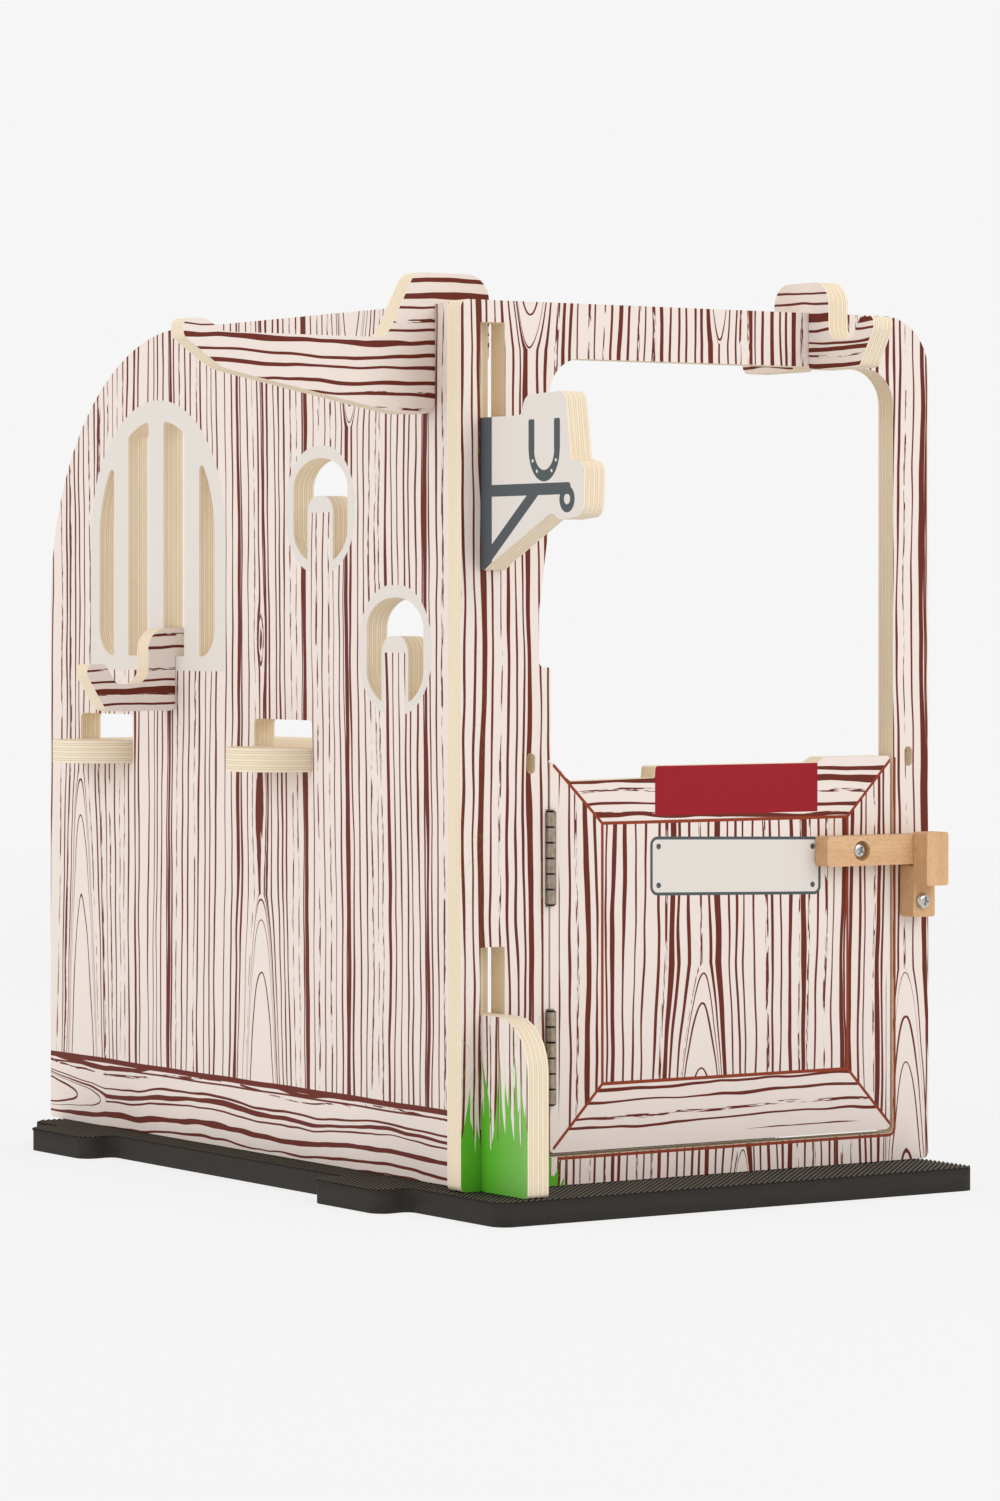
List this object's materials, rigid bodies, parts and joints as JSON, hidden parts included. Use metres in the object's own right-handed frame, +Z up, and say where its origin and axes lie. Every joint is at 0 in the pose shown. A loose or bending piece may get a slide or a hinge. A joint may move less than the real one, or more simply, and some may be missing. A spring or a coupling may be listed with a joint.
{
  "type": "toy horse stable",
  "caption": "Slot-together plywood toy stable: front panel with a latched half door, barred side wall hooked into it, lift-off tack hangers, on a jigsaw floor mat.",
  "frame": {"origin": "middle of the floor mat's underside", "axes": "+Z up, -Y out of the front panel, +X along the front panel away from the side wall"},
  "size_m": [0.4107, 0.5168, 0.452],
  "materials": {
    "front_panel_ply": "matt print of cream boards with brown grain lines, bare ply edges",
    "side_wall_ply": "matt print of cream boards with brown grain lines, bare ply edges",
    "door_ply": "matt print of a framed board door with a red block, bare ply edges",
    "bare_ply": "sanded bare birch plywood",
    "beech": "sanded beech",
    "steel": "zinc plated",
    "foam": "black, finely ribbed"
  },
  "bodies": {
    "frame": {"floor_mat": "foam", "front_panel": "front_panel_ply", "upper_hinge_post_leaf": "steel", "lower_hinge_post_leaf": "steel", "upper_hinge_pin": "steel", "lower_hinge_pin": "steel", "hinge_post_screws": "steel", "catch_base": "beech", "catch_lip": "beech", "catch_screw": "steel"},
    "door": {"half_door": "door_ply", "upper_hinge_door_leaf": "steel", "lower_hinge_door_leaf": "steel", "hinge_door_screws": "steel", "latch_pivot_screw": "steel"},
    "latch": {"latch_bar": "beech"},
    "wall": {"side_wall": "side_wall_ply", "inner_shelf": "bare_ply"},
    "rail": {"rug_rail": "bare_ply"},
    "bar_hanger": {"bar_hanger": "bare_ply"},
    "window_hanger": {"window_hanger": "bare_ply"}
  },
  "joints": [
    {"name": "door_hinge", "type": "hinge", "parent": "frame", "child": "door", "pos_m": [-0.0848, -0.1885, 0.1218], "axis": [0, 0, -1], "range_deg": [0, 120]},
    {"name": "latch_pivot", "type": "hinge", "parent": "door", "child": "latch", "pos_m": [0.0962, -0.193, 0.169], "axis": [0, -1, 0], "range_deg": [0, 180]},
    {"name": "wall_lift", "type": "slide", "parent": "frame", "child": "wall", "axis": [0, 0, 1], "range_m": [0, 0.0318]},
    {"name": "rail_lift", "type": "slide", "parent": "wall", "child": "rail", "axis": [0, 0, 1], "range_m": [0, 0.055]},
    {"name": "bar_hanger_lift", "type": "slide", "parent": "frame", "child": "bar_hanger", "axis": [0, 0, 1], "range_m": [0, 0.03]},
    {"name": "window_hanger_lift", "type": "slide", "parent": "wall", "child": "window_hanger", "axis": [0, 0, 1], "range_m": [0, 0.03]}
  ]
}
